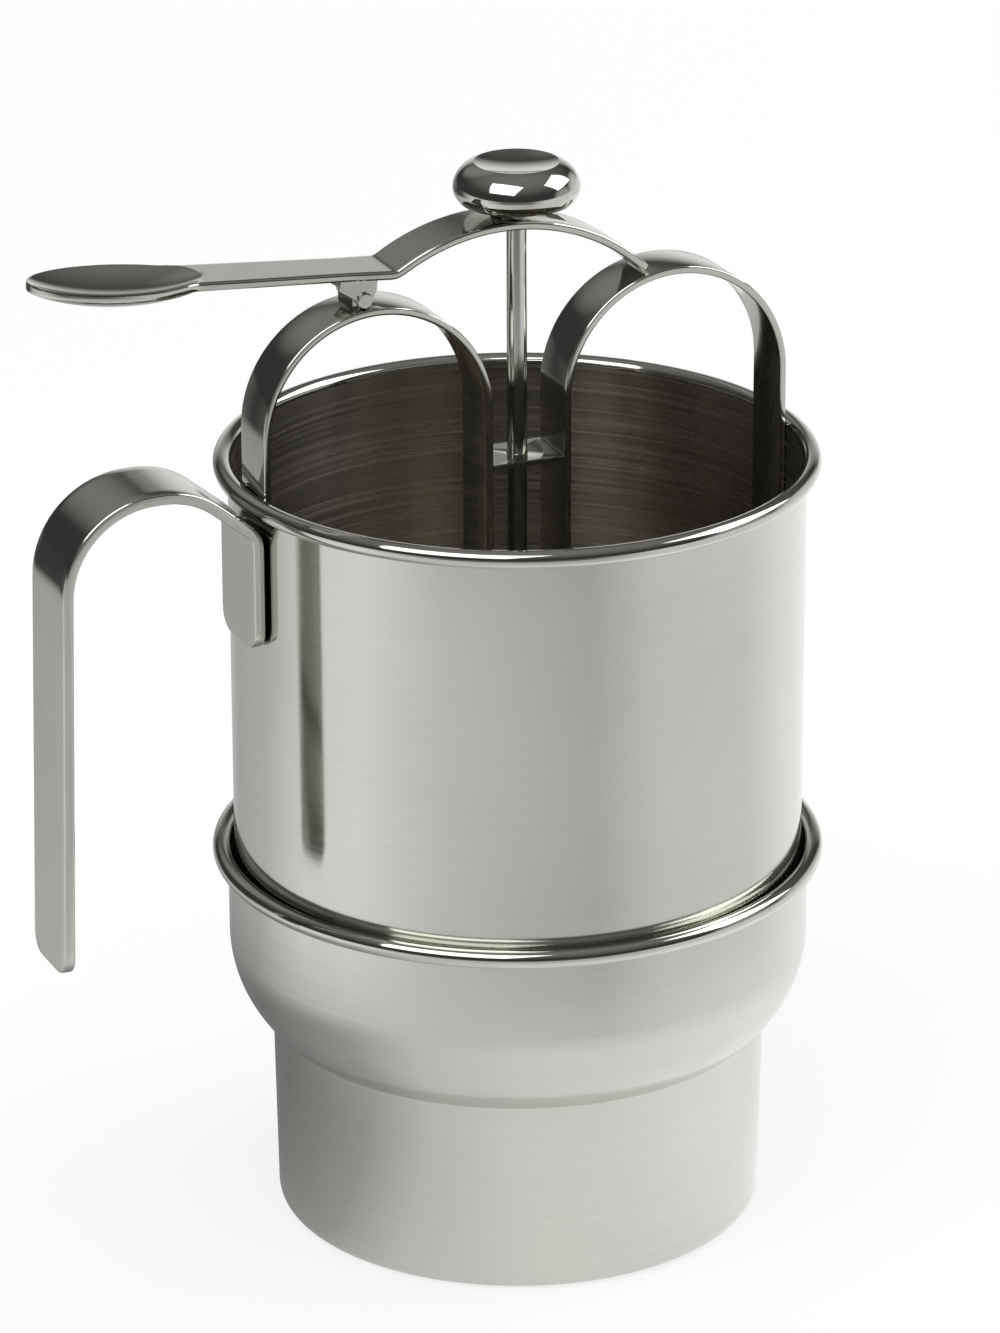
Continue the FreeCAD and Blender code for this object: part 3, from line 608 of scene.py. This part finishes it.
def makeHandle(size):
    outer = [Vector(place) for place in (
        (-size["wall"], size["padFoot"]), (-size["wall"], size["knee"]),
        (-size["crest"], size["top"]), (-size["shoulder"], size["top"]),
        (-size["footOut"], size["footHeight"]))]
    ways = [(b - a).normalized() for a, b in zip(outer, outer[1:])]
    half, corner, steps = size["thickness"] / 2, size["corner"], size["cornerSteps"]
    middle = []
    for place, before, after in zip(outer, ways[:1] + ways, ways + ways[-1:]):
        left = (leftOf(before) + leftOf(after)).normalized()
        stretch = 1 / left.dot(leftOf(after))
        middle.append(place + left * half * stretch)
    line = softened(middle, [radius - half for radius in size["bends"]], size["bendSteps"])
    line = resampled(line, size["longestStep"])

    def widthAt(along, length, place):
        return size["width"] / 2 - cornerInset(min(along, length - along), corner)

    start, stop = line[0], line[-1]
    head, tail = (line[1] - start).normalized(), (line[-2] - stop).normalized()
    kept = [place for place in line
            if min((place - start).length, (place - stop).length) > corner]
    ends = [(corner * k / steps) ** 2 / corner for k in range(1, steps)]
    first = [start] + [start + head * along for along in ends]
    last = [stop + tail * along for along in reversed(ends)] + [stop]
    source = stripMesh("handle", first + kept + last, widthAt, size["thickness"], size["edge"],
                       size["columns"])
    finishPiece(source, "handle_strap", "can", "strap_steel", "handle")


leverSizes = {  # other places than these two are from the pivot, before the arm is tilted
    "pivot": (-30.0, 172.645),  # across and up from the part's origin
    "slot": (-3.4, 8.5, 2.1),  # back and front from the part's origin, and half its width
    "slotHeight": 40.0, "thickness": 1.5, "edge": 0.5, "slope": 4.5, "armHeight": 4.2,
    "spoonCentre": -43.5, "spoonLong": 15.25, "spoonWide": 8.9, "spoonDepth": 2.6,
    "spoonCurve": 0.835, "spoonBlend": 1.2,
    "armAtSpoon": 6.0, "armAtBend": 5.0, "humpWide": 5.3, "bendEnds": (-2.5, 7.2),
    "hump": (28.0, -25.2, 37.0),  # across, up, radius
    "bend": 3.25, "tipAngle": 48.41, "tipCorner": 1.6,
    "columns": 28, "spoonSteps": 48, "bendSteps": 8, "humpSteps": 60,
}


def makeLever(size):
    acrossHump, upHump, radius = size["hump"]
    level, bend = size["armHeight"], size["bend"]
    bendUp = level + bend
    bendAcross = acrossHump - sqrt((radius + bend) ** 2 - (bendUp - upHump) ** 2)
    turn = atan2(upHump - bendUp, acrossHump - bendAcross)
    centre, long, wide = size["spoonCentre"], size["spoonLong"], size["spoonWide"]
    curve, blend, steps = size["spoonCurve"], size["spoonBlend"], size["spoonSteps"]
    flat = sqrt(1 - curve ** 2)
    tail = centre + long

    line = [Vector((centre - long * cos(pi * k / steps), level)) for k in range(steps + 1)]
    count = ceil(bendAcross - tail)
    line += [Vector((tail + (bendAcross - tail) * k / count, level)) for k in range(1, count)]
    line += arcPoints(Vector((bendAcross, bendUp)), bend, -pi / 2, turn + pi / 2,
                      size["bendSteps"])
    start, stop = pi + turn, radians(size["tipAngle"])
    line += arcPoints(Vector((acrossHump, upHump)), radius, start, stop - start,
                      size["humpSteps"])[1:]
    humpStart, humpStop = size["bendEnds"]

    def widthAt(along, length, place):
        offset = (place.x - centre) / long
        oval = wide * sqrt(max(1 - offset ** 2, 0))
        if place.x < centre:
            return oval
        if place.x < humpStart:
            share = (humpStart - place.x) / (humpStart - centre)
            arm = size["armAtBend"] + (size["armAtSpoon"] - size["armAtBend"]) * share
        else:
            share = min((place.x - humpStart) / (humpStop - humpStart), 1)
            arm = size["armAtBend"] + (size["humpWide"] - size["armAtBend"]) * share
        mixed = max(blend - abs(oval - arm), 0) / blend  # for a smooth change between the two
        half = max(oval, arm) + mixed ** 2 * blend / 4
        return half - cornerInset(length - along, size["tipCorner"])

    def sinkAt(place, across):
        reach = ((place.x - centre) / long) ** 2 + (across / wide) ** 2
        if reach >= 1 or place.x > tail:
            return 0.0
        return -size["spoonDepth"] * (sqrt(1 - curve ** 2 * reach) - flat) / (1 - flat)

    source = stripMesh("lever", line, widthAt, size["thickness"], size["edge"], size["columns"],
                       sinkAt)
    x, z = size["pivot"]
    source.data.transform(Matrix.Translation((x * mm, 0, z * mm))
                          @ Matrix.Rotation(radians(size["slope"]), 4, "Y"))
    back, front, half = size["slot"]
    source = cutWith(source, boxCutter((back, -half, z), (front, half, z + size["slotHeight"])))
    finishPiece(source, "thumb_lever", "lever", "lever_steel", "lever")


smallParts = {  # node: piece name, body, slot, broken edge in millimetres
    "guide_shelf": ("rod_guide_shelf", "can", "strap_steel", 0.2),
    "hinge_barrel": ("hinge_tube", "can", "strap_steel", 0.12),
    "pivot_pin": ("hinge_pin", "lever", "strap_steel", 0.2),
    "lever_bracket": ("hinge_bracket", "lever", "strap_steel", 0.2),
    "stopper_nut": ("stopper_hex_nut", "plunger", "rod_steel", 0.3),
}
brokenEdges = {"segments": 2, "sharperThan": 30.0, "flatWithin": 1.0}  # angles in degrees


def edgeBroken(nodeName, name, body, slotName, width):  # a plain solid with its edges softened
    source = addObject(nodeName + ".copy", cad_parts[nodeName].data.copy())
    bm = bmesh.new()
    bm.from_mesh(source.data)
    bmesh.ops.remove_doubles(bm, verts=bm.verts, dist=closeEnough)
    bmesh.ops.dissolve_limit(bm, angle_limit=radians(brokenEdges["flatWithin"]), verts=bm.verts,
                             edges=bm.edges)
    bm.to_mesh(source.data)
    bm.free()
    bevel = source.modifiers.new("edges", "BEVEL")
    bevel.width = width * mm
    bevel.segments = brokenEdges["segments"]
    bevel.limit_method = "ANGLE"
    bevel.angle_limit = radians(brokenEdges["sharperThan"])
    finishPiece(source, name, body, slotName, nodeName)


knobSizes = {
    "foot": 183.22, "radius": 10.9, "belly": 4.8, "neck": 4.6, "neckHeight": 0.8,
    "lip": 9.7, "lipHeight": 2.0, "lowerBulge": 3.4, "crown": 7.3, "height": 8.9,
    "upperBulge": 4.9, "dish": 0.8, "bore": 1.78, "boreDepth": 6.0, "segments": 128,
}


def makeKnob(size):
    base = size["foot"]
    dishRadius = (size["crown"] ** 2 + size["dish"] ** 2) / (2 * size["dish"])
    outline = bentLine([
        (0, base + size["boreDepth"]),
        (size["bore"], base + size["boreDepth"]),
        (size["bore"], base),
        (size["neck"], base),
        (size["neck"], base + size["neckHeight"]),
        (size["lip"], base + size["lipHeight"], size["lowerBulge"], -1),
        (size["radius"], base + size["belly"], size["upperBulge"], -1),
        (size["crown"], base + size["height"], dishRadius, 1),
        (0, base + size["height"] - size["dish"]),
    ], degrees=2)
    spunPiece(outline, "top_knob", "plunger", "knob_steel", "knob", size["segments"],
              closed=False)


rodSizes = {
    "radius": 1.75, "foot": 11.74, "top": 189.07, "chamfer": 0.4, "longestStep": 6.0,
    "segments": 48,
}


def makeRod(size):
    radius, cut, foot, top = size["radius"], size["chamfer"], size["foot"], size["top"]
    outline = [Vector(place) for place in (
        (0, foot), (radius - cut, foot), (radius, foot + cut),
        (radius, top - cut), (radius - cut, top), (0, top))]
    outline = resampled(outline, size["longestStep"])
    spunPiece(outline, "lift_rod", "plunger", "rod_steel", "plunger_rod", size["segments"],
              closed=False)


stopperSizes = {
    "bore": 1.78, "sealFoot": 15.54, "sealNeck": 6.2, "sealRadius": 9.5, "slope": 30.0,
    "sealTop": 17.95, "capRadius": 9.0, "cap": 1.6, "boss": 3.6, "bossHeight": 3.2, "soft": 0.3,
    "segments": 96,
}


def makeStopper(size):
    bore, soft = size["bore"], size["soft"]
    foot, top, wide = size["sealFoot"], size["sealTop"], size["sealRadius"]
    shoulder = foot + (wide - size["sealNeck"]) * tan(radians(size["slope"]))
    seal = bentLine([
        (bore, foot),
        (size["sealNeck"], foot),
        (wide - soft, shoulder - soft / 3, soft, -1),
        (wide, shoulder + soft / 2),
        (wide, top - soft, soft, -1),
        (wide - soft, top),
        (bore, top),
    ], degrees=15)
    spunPiece(seal, "stopper_seal", "plunger", "seal_silicone", "seal_plug", size["segments"])
    half, rim, boss, capTop = size["cap"] / 2, size["capRadius"], size["boss"], top + size["cap"]
    bossTop = capTop + size["bossHeight"]
    cap = bentLine([
        (bore, top),
        (rim, top),
        (rim, top + half, half, -1),
        (rim - half, capTop),
        (boss + soft, capTop, soft, 1),
        (boss, capTop + soft),
        (boss, bossTop - soft, soft, -1),
        (boss - soft, bossTop),
        (bore, bossTop),
    ], degrees=15)
    spunPiece(cap, "stopper_disc", "plunger", "rod_steel", "stopper_cap", size["segments"])


viewSizes = {  # worked out from the shape of the rims in the photograph
    "focal": 6500.0, "longSide": 1333, "elevation": 21.483, "azimuth": -23.6,
    "distance": 1135.854, "target": (-3.041, 100.02), "roll": -0.16,
    "sensor": 36.0, "farthest": 50.0,
}


def makeCamera(size):
    azimuth, elevation = radians(size["azimuth"]), radians(size["elevation"])
    back = Vector((sin(azimuth) * cos(elevation), -cos(azimuth) * cos(elevation), sin(elevation)))
    shift, height = size["target"]
    target = Vector((shift * cos(azimuth), shift * sin(azimuth), height)) * mm
    data = bpy.data.cameras.new("camera")
    data.sensor_width = size["sensor"]
    data.lens = size["focal"] * data.sensor_width / size["longSide"]
    data.clip_end = size["farthest"]
    camera = addObject("camera", data)
    turn = (-back).to_track_quat("-Z", "Y").to_matrix().to_4x4()
    camera.matrix_world = (Matrix.Translation(target + back * size["distance"] * mm) @ turn
                           @ Matrix.Rotation(radians(size["roll"]), 4, "Z"))
    scene.camera = camera


def compass(bearing, elevation):  # a direction: bearing from the camera, positive to its right
    turn, rise = radians(viewSizes["azimuth"] + bearing), radians(elevation)
    return Vector((sin(turn) * cos(rise), -cos(turn) * cos(rise), sin(rise)))


floorSizes = {  # tones: painted shade and light on the floor that only metal mirrors, by bearing from the camera; close in, a painted shadow of the object on its left, farther off, painted dark reflections
    "side": 24.0, "paint": 0.86, "seenGlow": 0.75, "mirroredGlow": 0.85,
    "close": ((-180, 0.5), (-140, 0.2), (-110, 0.22), (-81, 0.32), (-59, 0.42), (-33, 0.7),
              (0, 0.84), (30, 0.88), (64, 1.0), (95, 1.05), (150, 0.9), (180, 0.5)),
    "middle": ((-180, 0.6), (-140, 0.45), (-111, 0.58), (-84, 0.9), (-60, 0.92), (-28, 0.69),
               (0, 0.61), (28, 0.55), (54, 0.73), (95, 0.78), (122, 0.97), (150, 1.0), (180, 0.9)),
    "far": ((-180, 0.8), (-155, 0.25), (-128, 0.05), (-112, 0.1), (-95, 0.6), (-80, 0.8),
            (-55, 0.8), (-25, 0.18), (25, 0.18), (50, 0.75), (125, 0.8), (150, 0.9), (180, 0.9)),
    "toMiddle": (0.09, 0.2), "toFar": (0.38, 0.6), "toWhite": (0.3, 1.2),  # metres from the axis
}


def makeFloor(size):
    bpy.ops.mesh.primitive_plane_add(size=size["side"])
    floor = bpy.context.object
    floor.name = "floor"
    material = bpy.data.materials.new("pale_floor")
    material.use_nodes = True
    tree = material.node_tree
    tree.nodes.clear()
    place = addNode(tree, "ShaderNodeTexCoord").outputs["Object"]
    ahead, aside = (vectorMaths(tree, "DOT_PRODUCT", place, compass(bearing, 0))
                    for bearing in (0, 90))
    turn = mapped(tree, maths(tree, "ARCTAN2", aside, ahead), -pi, pi)
    reach = vectorMaths(tree, "LENGTH", place)

    def paintedShadeRound(paintedShadeTones):
        ramp = addNode(tree, "ShaderNodeValToRGB", [("Fac", turn)])
        stops = ramp.color_ramp.elements
        for angle, tone in paintedShadeTones[1:-1]:
            stops.new((angle + 180) / 360)
        for stop, (angle, tone) in zip(stops, paintedShadeTones):
            stop.color = (tone, tone, tone, 1)
        return ramp.outputs[0]

    def blended(first, second, limits):
        return mixedNumber(tree, mapped(tree, reach, *limits, kind="SMOOTHSTEP"), first, second)

    # painted shade: what metal mirrors of the floor is darker or lighter by bearing and distance
    # from the axis, while the camera sees the floor plain
    tone = blended(paintedShadeRound(size["close"]), paintedShadeRound(size["middle"]), size["toMiddle"])
    tone = blended(tone, paintedShadeRound(size["far"]), size["toFar"])
    seen = blended(size["seenGlow"], 1.0, size["toWhite"])  # far off it is as white as the world
    cameraRay, mirrored = rayKinds(tree)
    # the painted shade goes into both the paint and the glow, for mirrored rays only
    paintWithPaintedShade = mixedNumber(tree, mirrored, size["paint"],
                            maths(tree, "MULTIPLY", tone, size["paint"]))
    glowWithPaintedShade = mixedNumber(tree, mirrored, 1.0, tone)
    paint = addNode(tree, "ShaderNodeBsdfDiffuse", [("Color", paintWithPaintedShade)]).outputs[0]
    glow = addNode(tree, "ShaderNodeEmission", [("Strength", glowWithPaintedShade)]).outputs[0]
    share = maths(tree, "MAXIMUM", maths(tree, "MULTIPLY", mirrored, size["mirroredGlow"]),
                  maths(tree, "MULTIPLY", cameraRay, seen))
    addNode(tree, "ShaderNodeOutputMaterial", [("Surface", mixedShader(tree, share, paint, glow))])
    floor.data.materials.append(material)


worldSizes = {  # what metal mirrors above the floor: a dim room, and pale panels round it
    "low": 0.045, "high": 0.22, "riseFrom": 0.35, "plain": 0.8, "seen": 1.0,
    # bearing, elevation, inner and outer angle of the panel, tone
    "panels": ((178, -6, 0, 34, 0.88), (130, 0, 5, 28, 0.7), (-150, 38, 4, 30, 0.26),
               (92, 0, 8, 26, 0.4)),
}


def makeWorld(size):
    world = bpy.data.worlds.new("studio")
    world.use_nodes = True
    scene.world = world
    tree = world.node_tree
    tree.nodes.clear()
    way = addNode(tree, "ShaderNodeTexCoord").outputs["Generated"]
    height = addNode(tree, "ShaderNodeSeparateXYZ", [(0, way)]).outputs["Z"]
    total = mapped(tree, height, size["riseFrom"], 1.0, size["low"], size["high"])
    for bearing, elevation, inner, outer, tone in size["panels"]:
        near = vectorMaths(tree, "DOT_PRODUCT", way, compass(bearing, elevation))
        panel = mapped(tree, near, cos(radians(outer)), cos(radians(inner)), 0.0, tone,
                       kind="SMOOTHSTEP")
        total = maths(tree, "MAXIMUM", total, panel)

    def light(strength):
        return addNode(tree, "ShaderNodeBackground", [
            ("Color", (1, 1, 1, 1)), ("Strength", strength)]).outputs[0]

    cameraRay, mirrored = rayKinds(tree)
    unseen = mixedShader(tree, mirrored, light(size["plain"]), light(total))
    surface = mixedShader(tree, cameraRay, unseen, light(size["seen"]))
    addNode(tree, "ShaderNodeOutputWorld", [("Surface", surface)])


lampSizes = {  # name: bearing from the camera, elevation, distance, width, height, watts
    "left": (-29.0, 53.0, 1.6, 1.25, 1.05, 9.0),
    "right": (104.0, 42.0, 1.6, 1.15, 0.9, 8.0),
}


def makeLamps(lamps):
    for name, (bearing, elevation, distance, width, height, watts) in lamps.items():
        place = compass(bearing, elevation) * distance
        data = bpy.data.lights.new(name, "AREA")
        data.shape = "RECTANGLE"
        data.size, data.size_y, data.energy = width, height, watts
        lamp = addObject(name, data)
        lamp.matrix_world = (Matrix.Translation(place)
                             @ (-place).to_track_quat("-Z", "Y").to_matrix().to_4x4())


makeStand(standSizes)
makeCan(canSizes)
print("stand and can spun")
makeStrapFrame(frameSizes)
makeHandle(handleSizes)
print("straps bent")
makeLever(leverSizes)
print("lever formed")
for nodeName, choices in smallParts.items():
    edgeBroken(nodeName, *choices)
print("hinge, shelf and nut edged")
makeKnob(knobSizes)
makeRod(rodSizes)
makeStopper(stopperSizes)
print("knob, rod and stopper turned")
makeCamera(viewSizes)
makeFloor(floorSizes)
makeWorld(worldSizes)
makeLamps(lampSizes)
scene.view_settings.view_transform = "Standard"
print("camera, floor and lights set")

bpy.context.view_layer.update()
